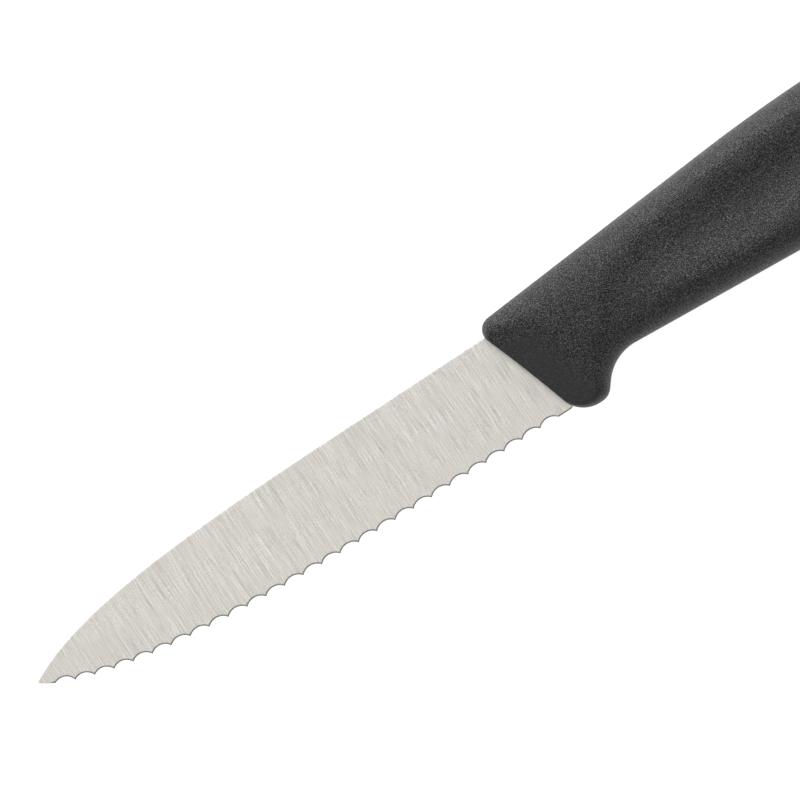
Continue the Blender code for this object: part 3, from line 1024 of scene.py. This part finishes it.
@dataclass
class Grip:
    """The moulded grip: a body with a facet and a scooped hollow on each side, and the slot for the steel."""

    front: FrontEdge
    blade: Blade
    seam: float = 0.00004
    front_rounding: float = 0.0009
    length: float = 0.1085
    nose_height: float = 0.00785
    nose_radius: float = 0.0020
    top_rise: float = 0.0776
    crest_corner: float = 0.0696
    crest_radius: float = 0.236
    top_fall: float = 0.200
    butt_height: float = -0.0020
    butt_slant: float = 0.14
    butt_top_radius: float = 0.0065
    butt_bottom_radius: float = 0.0050
    hook_corner: Point = (0.0880, -0.00890)
    hook_fall: float = 0.110
    hook_radius: float = 0.070
    belly_corner: Point = (0.0625, -0.00934)
    belly_radius: float = 0.150
    scoop_corner: Point = (0.01155, -0.00570)
    scoop_radius: float = 0.0067
    guard_flank: float = math.radians(51.3)
    guard_drop: float = 0.01025
    guard_rear_radius: float = 0.0023
    guard_front_radius: float = 0.0043
    collar_thickness: float = 0.0099
    thickness: float = 0.0147
    butt_thickness: float = 0.0128
    collar_swell: float = 0.0340
    butt_taper: float = 0.0400
    land_thickness: float = 0.0126
    land_softness: float = 0.00008
    butt_rounding: float = 0.0052
    crown_rise: float = 0.08
    fullness_above: float = 2.82
    fullness_below: float = 2.64
    facet_top: Point = (0.0010, 0.0072)
    facet_bottom: Point = (0.0071, -0.0043)
    facet_height: float = 0.0042
    facet_fall: float = 0.36
    facet_softness: float = 0.00026
    # Each pair has the value by the collar and the one further back, and passes over between the two X
    hollow_slope: Pair = (0.225, 0.69)
    hollow_width: Pair = (0.0057, 0.0111)
    hollow_softness: Pair = (0.00003, 0.00036)
    hollow_passage: Pair = (0.0065, 0.0385)
    hollow_fade: float = 0.0350
    hollow_start: Point = (0.0060, -0.0104)
    hollow_pull_start: Point = (0.0082, -0.0027)
    hollow_pull_turn: Point = (0.0163, 0.0061)
    hollow_shoulder: Point = (0.0234, 0.0066)
    hollow_pull_back: Point = (0.0445, 0.0089)
    hollow_pull_rear: Point = (0.0720, 0.0081)
    hollow_rear: Point = (0.0980, 0.0045)
    # A point this much nearer sideways than straight lies past the border's end
    hollow_end: float = 0.5
    front_blend: float = 0.0280
    butt_blend: float = 0.0210
    # Radii of the nose's arc that the front's points stay below the nose
    nose_room: float = 1.6
    front_points: int = 9
    side_points: int = 721
    side_steps: int = 84
    station_step: float = 0.00036
    rounding_steps: int = 9
    cap_steps: int = 5
    crossing_slack: float = 0.00003
    merge_distance: float = 0.000002
    smooth_angle: float = math.radians(40.0)
    plastic: GrainedPlastic = GrainedPlastic()

    def outlines(self) -> tuple[np.ndarray, np.ndarray]:
        """The grip's outline in two parts, which both run from the front to the butt.

        Returns:
            The (x, y) rows over its top, and those under its guard and belly.
        """
        nose = (self.front.x_at(self.nose_height), self.nose_height)
        crest = (self.crest_corner, self.nose_height + self.top_rise * (self.crest_corner - nose[0]))
        butt, butt_slope = (self.length, self.butt_height), 1.0 / self.butt_slant
        butt_top = meeting(crest, -self.top_fall, butt, butt_slope)
        butt_bottom = meeting(self.hook_corner, -self.hook_fall, butt, butt_slope)
        guard_rear = meeting(self.scoop_corner, math.tan(self.guard_flank), (0.0, -self.guard_drop), 0.0)
        guard_front = (self.front.x_at(-self.guard_drop), -self.guard_drop)
        lowest = self.guard_front_radius - self.guard_drop
        highest = self.nose_height - self.nose_room * self.nose_radius
        heights = np.linspace(lowest, highest, self.front_points)
        outline = rounded(
            [
                *((self.front.x_at(y), y, 0.0) for y in heights),
                (*nose, self.nose_radius),
                (*crest, self.crest_radius),
                (*butt_top, self.butt_top_radius),
                (*butt_bottom, self.butt_bottom_radius),
                (*self.hook_corner, self.hook_radius),
                (*self.belly_corner, self.belly_radius),
                (*self.scoop_corner, self.scoop_radius),
                (*guard_rear, self.guard_rear_radius),
                (*guard_front, self.guard_front_radius),
            ]
        )
        outline = np.roll(outline, -int(np.argmin(np.hypot(outline[:, 0], outline[:, 1]))), axis=0)
        at_butt = int(np.argmin(np.hypot(outline[:, 0] - butt[0], outline[:, 1] - butt[1])))
        return outline[: at_butt + 1], np.vstack([outline[:1], outline[: at_butt - 1 : -1]])

    def station_x(self, place: float, y: Any) -> Any:
        """X of a station's line, which follows the slanted front, stands up and leans with the butt.

        Args:
            place: The station's place.
            y: Height, or an array of heights.

        Returns:
            X at each height.
        """
        front_share = 1.0 - smooth_step(place, 0.0, self.front_blend)
        butt_share = smooth_step(place, self.length - self.butt_blend, self.length)
        lean = self.butt_slant * (y - self.butt_height)
        return place + front_share * self.front.x_at(y) + butt_share * lean

    def crossing(self, outline: np.ndarray, place: float) -> np.ndarray:
        """Where a station's line meets one of the outlines.

        Args:
            outline: Points from the front to the butt.
            place: The station's place.

        Returns:
            The (x, y) of the crossing.
        """
        ahead = outline[:, 0] - self.station_x(place, outline[:, 1])
        limit = self.crossing_slack if place < self.length / 2 else -self.crossing_slack
        index = int(np.argmax(ahead > limit))
        low, high = ahead[index - 1], ahead[index]
        share = np.clip(-low / (high - low), 0.0, 1.0)
        return outline[index - 1] + (outline[index] - outline[index - 1]) * share

    def station_places(self) -> list[float]:
        """Places of the stations, close together round the front and the butt.

        Returns:
            The places, which are X on the knife's own axis.
        """
        turns = [math.pi / 2 * step / self.rounding_steps for step in range(self.rounding_steps + 1)]
        front = [self.front_rounding * (1 - math.cos(turn)) for turn in turns]
        butt_start = self.length - self.butt_rounding
        count = round((butt_start - front[-1]) / self.station_step)
        butt = [butt_start + self.butt_rounding * math.sin(turn) for turn in turns]
        return [*front[:-1], *np.linspace(front[-1], butt_start, count + 1)[:-1], *butt]

    def reach(self, place: float) -> float:
        """How far the crown of the side stands out from the middle at a station.

        Args:
            place: The station's place.

        Returns:
            The distance from the middle of the thickness.
        """
        swell = smooth_step(place, 0.0, self.collar_swell)
        rear = self.length - self.butt_rounding
        taper = smooth_step(place, rear - self.butt_taper, rear)
        reach = self.collar_thickness + (self.thickness - self.collar_thickness) * swell
        reach = (reach + (self.butt_thickness - self.thickness) * taper) / 2
        into_front = np.clip(self.front_rounding - place, 0.0, self.front_rounding)
        into_butt = np.clip(place - rear, 0.0, self.butt_rounding)
        for radius, depth in ((self.front_rounding, into_front), (self.butt_rounding, into_butt)):
            reach -= radius - math.sqrt(max(0.0, radius**2 - depth**2))
        return reach

    def half_section(self, top: np.ndarray, bottom: np.ndarray, reach: float) -> np.ndarray:
        """Half of the section at a station, before its relief.

        Args:
            top: Where the station meets the upper outline.
            bottom: Where it meets the lower one.
            reach: How far its crown stands out.

        Returns:
            Evenly spaced rows of (share of the way from top to bottom, Z).
        """
        turns = np.linspace(0.0, math.pi, self.side_points)
        above = np.cos(turns) > 0.0
        power = 2.0 / np.where(above, self.fullness_above, self.fullness_below)
        half_height = np.hypot(*(top - bottom)) / 2
        spread = np.where(above, 1.0 - self.crown_rise, 1.0 + self.crown_rise)
        heights = self.crown_rise + spread * np.sign(np.cos(turns)) * np.abs(np.cos(turns)) ** power
        fine = np.column_stack([heights * half_height, reach * np.abs(np.sin(turns)) ** power])
        lengths = lengths_along(fine)
        places = np.linspace(0.0, lengths[-1], self.side_steps + 1)
        section = np.array([point_at(fine, lengths, distance) for distance in places])
        section[:, 0] = 0.5 - section[:, 0] / (2 * half_height)
        section[[0, -1], 1] = 0.0
        return section

    def facet(self, points: np.ndarray) -> np.ndarray:
        """Height of the front facet's plane at points on the side."""
        top, bottom = np.array(self.facet_top), np.array(self.facet_bottom)
        return self.facet_height - self.facet_fall * ((points - top) @ left_of(top - bottom))

    def hollow_border(self) -> np.ndarray:
        """The front and upper border of the hollow.

        Returns:
            An array of (x, y) rows.
        """
        sweep = bezier(self.hollow_start, self.hollow_pull_start, self.hollow_pull_turn, self.hollow_shoulder)
        rear = bezier(self.hollow_shoulder, self.hollow_pull_back, self.hollow_pull_rear, self.hollow_rear)
        return np.vstack([sweep, rear[1:]])

    def hollow(self, points: np.ndarray, border: np.ndarray) -> np.ndarray:
        """How deep the hollow lies at points on the side.

        Args:
            points: Rows of (x, y).
            border: Points of the hollow's border.

        Returns:
            Depths below the plain section: from the border down to a valley, and up again to the ridge.
        """
        offsets = points[:, None, :] - border[None, :, :]
        distances = np.hypot(offsets[..., 0], offsets[..., 1])
        nearest = np.clip(distances.argmin(axis=1), 1, len(border) - 2)
        run = border[nearest + 1] - border[nearest - 1]
        away = points - border[nearest]
        turn = run[:, 0] * away[:, 1] - run[:, 1] * away[:, 0]
        direct = distances.min(axis=1)
        sideways = np.abs(turn) / np.hypot(run[:, 0], run[:, 1])
        distance = np.where(sideways < direct * self.hollow_end, direct, sideways)
        distance *= np.where(turn < 0.0, 1.0, -1.0)
        passage = smooth_step(points[:, 0], *self.hollow_passage)
        slope, width, softness = (
            front + (rear - front) * passage
            for front, rear in (self.hollow_slope, self.hollow_width, self.hollow_softness)
        )
        dip = slope * distance * np.where(distance > 0.0, 1.0 - distance / width, 1.0)
        fade = 1.0 - smooth_step(points[:, 0], self.hollow_rear[0] - self.hollow_fade, self.hollow_rear[0])
        return fade * soft_excess(dip, softness)

    def rows(self) -> list[np.ndarray]:
        """Rows of points of the viewer's half of the grip, with the flat walls of its front and its butt.

        Returns:
            One array of (x, y, z) rows for each station.
        """
        over, under = self.outlines()
        border = self.hollow_border()
        rows = []
        for place in self.station_places():
            top, bottom = self.crossing(over, place), self.crossing(under, place)
            section = self.half_section(top, bottom, self.reach(place))
            y = top[1] + (bottom[1] - top[1]) * section[:, 0]
            x = self.station_x(place, y)
            x += top[0] - x[0] + (bottom[0] - x[-1] - top[0] + x[0]) * section[:, 0]
            points = np.column_stack([x, y])
            z = section[:, 1] - soft_excess(section[:, 1] - self.facet(points), self.facet_softness)
            z -= self.hollow(points, border)
            below_land = self.land_thickness / 2 - z
            z = np.maximum(self.land_thickness / 2 - soft_excess(below_land, self.land_softness), 0.0)
            rows.append(np.column_stack([x, y, z]))
        shares = np.arange(self.cap_steps) / self.cap_steps
        front = [rows[0] * (1.0, 1.0, share) for share in shares]
        butt = [rows[-1] * (1.0, 1.0, share) for share in shares[::-1]]
        return [*front, *rows, *butt]

    def build(self, shift: Vector) -> bpy.types.Object:
        """Models the grip.

        Args:
            shift: Where the knife's own origin lies in the frame.

        Returns:
            The grip's object.
        """
        rows = self.rows()
        skin = bmesh.new()
        bmesh.ops.create_grid(skin, x_segments=self.side_steps, y_segments=len(rows) - 1, size=1.0)
        for vert, place in zip(skin.verts, (place for row in rows for place in row)):
            vert.co = place
        half = skin.verts[:] + skin.edges[:] + skin.faces[:]
        bmesh.ops.mirror(skin, geom=half, axis="Z", merge_dist=self.merge_distance)
        bmesh.ops.remove_doubles(skin, verts=skin.verts[:], dist=self.merge_distance)
        bmesh.ops.dissolve_degenerate(skin, edges=skin.edges[:], dist=self.merge_distance)
        bmesh.ops.recalc_face_normals(skin, faces=skin.faces[:])
        piece = object_from("knife_grip", skin, self.smooth_angle)
        piece.data.materials.append(self.plastic.material())
        open_end = self.front.x_at(self.nose_height) - self.blade.shoulder_depth
        slot = plate(
            "slot_form",
            rounded(grown(self.blade.buried_corners(open_end), self.seam)),
            self.blade.hole_rings(self.blade.hole_radius - self.seam),
            self.blade.spine_thickness + 2 * self.seam,
        )
        combine(piece, slot, "DIFFERENCE")
        piece.data.transform(Matrix.Translation(shift))
        return piece

    def dress(self, piece: bpy.types.Object) -> None:
        """Lets the grip ride on its body in place of its solid.

        Args:
            piece: The grip's object.
        """
        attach(piece, BODY)
        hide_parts("handle")


@dataclass(frozen=True)
class Softbox:
    """A round softbox that faces the knife.

    Its turn is counted from the picture's right towards its top, and its rise from the table, in degrees.
    """

    turn: float
    rise: float
    watts: float
    width: float = 0.60
    distance: float = 0.55

    def way(self, right: Vector, up: Vector) -> Vector:
        """Unit vector from the knife to the lamp.

        Args:
            right: The picture's right, in the frame.
            up: The picture's up, in the frame.

        Returns:
            The vector, in the frame.
        """
        turn, rise = math.radians(self.turn), math.radians(self.rise)
        level = right * math.cos(turn) + up * math.sin(turn)
        return level * math.cos(rise) + Vector((0.0, 0.0, math.sin(rise)))


@dataclass
class Studio:
    """The pale table, the soft lights and the camera, which looks straight down as the photograph does."""

    point: Vector
    table_size: float = 6.0
    table_squares: int = 8
    table_gap: float = 0.00002
    glass: PaleTable = PaleTable()
    picture_pixels: float = 800.0
    pixels_per_metre: float = 7262.0
    point_pixel: Point = (38.25, 682.83)
    blade_slope: float = math.radians(33.3)
    lens: float = 500.0
    sensor: float = 36.0
    clip_start: float = 0.01
    ambient: float = 0.05

    @property
    def right(self) -> Vector:
        """The picture's right, in the frame."""
        return Vector((math.cos(self.blade_slope), -math.sin(self.blade_slope), 0.0))

    @property
    def up(self) -> Vector:
        """The picture's up, in the frame."""
        return Vector((math.sin(self.blade_slope), math.cos(self.blade_slope), 0.0))

    @property
    def centre(self) -> Vector:
        """The place on the blade's plane that the middle of the picture shows.

        Returns:
            The place, in the frame.
        """
        half = self.picture_pixels / 2
        across = (half - self.point_pixel[0]) / self.pixels_per_metre
        along = (self.point_pixel[1] - half) / self.pixels_per_metre
        return self.point + self.right * across + self.up * along

    def softboxes(self) -> dict[LampRole, Softbox]:
        """The lamps: most of the light comes from above the knife in the picture, and some from its left.

        Returns:
            Each lamp by its role.
        """
        return {
            LampRole.OVERHEAD: Softbox(turn=0.0, rise=90.0, watts=0.870),
            LampRole.ABOVE_LOW: Softbox(turn=90.0, rise=20.0, watts=3.000, width=0.45),
            LampRole.ABOVE_HIGH: Softbox(turn=90.0, rise=34.0, watts=0.900),
            LampRole.ABOVE_LEFT: Softbox(turn=135.0, rise=34.0, watts=1.500),
            LampRole.LEFT: Softbox(turn=180.0, rise=34.0, watts=0.700),
            LampRole.BELOW: Softbox(turn=270.0, rise=34.0, watts=0.600),
            LampRole.RIGHT: Softbox(turn=0.0, rise=20.0, watts=0.300),
        }

    def build_table(self) -> bpy.types.Object:
        """Lays the table under the knife.

        Returns:
            The table's object.
        """
        builder = bmesh.new()
        count = self.table_squares
        bmesh.ops.create_grid(builder, x_segments=count, y_segments=count, size=self.table_size / 2)
        bmesh.ops.translate(builder, verts=builder.verts[:], vec=(0.0, 0.0, -self.table_gap))
        table = object_from("table", builder, SHARP_ANGLE)
        table.data.materials.append(self.glass.material())
        return table

    def build_lamps(self) -> list[bpy.types.Object]:
        """Hangs the softboxes and sets the room's faint even light.

        Returns:
            The lamps' objects.
        """
        lamps = []
        for role, box in self.softboxes().items():
            way = box.way(self.right, self.up)
            data = bpy.data.lights.new(role.value, "AREA")
            data.shape = "DISK"
            data.size = box.width
            data.energy = box.watts
            lamp = bpy.data.objects.new(role.value, data)
            lamp.location = self.centre + way * box.distance
            lamp.rotation_euler = way.to_track_quat("Z", "Y").to_euler()
            lamp.visible_camera = False
            bpy.context.scene.collection.objects.link(lamp)
            lamps.append(lamp)
        world = bpy.data.worlds.new("studio")
        world.use_nodes = True
        sky = world.node_tree.nodes["Background"]
        sky.inputs["Color"].default_value = (1.0, 1.0, 1.0, 1.0)
        sky.inputs["Strength"].default_value = self.ambient
        bpy.context.scene.world = world
        return lamps

    def build_camera(self) -> bpy.types.Object:
        """Sets the camera over the knife, at the photograph's angle and scale.

        Returns:
            The camera's object.
        """
        data = bpy.data.cameras.new("camera")
        data.lens = self.lens
        data.sensor_width = self.sensor
        data.clip_start = self.clip_start
        camera = bpy.data.objects.new("camera", data)
        width = self.picture_pixels / self.pixels_per_metre
        height = self.lens / self.sensor * width
        place = self.centre + Vector((0.0, 0.0, height))
        camera.matrix_world = Matrix.Translation(place) @ Matrix.Rotation(-self.blade_slope, 4, "Z")
        bpy.context.scene.collection.objects.link(camera)
        bpy.context.scene.camera = camera
        bpy.context.scene.view_settings.view_transform = "Standard"
        return camera


def main() -> None:
    """Builds the knife and its studio."""
    logging.basicConfig(level=logging.INFO, format="%(name)s: %(message)s")
    low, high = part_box("blade")
    front = FrontEdge()
    blade = Blade(front)
    grip = Grip(front, blade)
    shift = Vector((low.x + blade.length, high.y - blade.spine_height, (low.z + high.z) / 2))
    for part in (blade, grip):
        piece = part.build(shift)
        part.dress(piece)
        LOG.info("%s: %d faces", piece.name, len(piece.data.polygons))
    studio = Studio(Vector((low.x, shift.y, high.z)))
    LOG.info("stage: %s", studio.build_table().name)
    LOG.info("lamps: %s", ", ".join(lamp.name for lamp in studio.build_lamps()))
    LOG.info("view: %s", studio.build_camera().name)


if __name__ == "__main__":
    main()
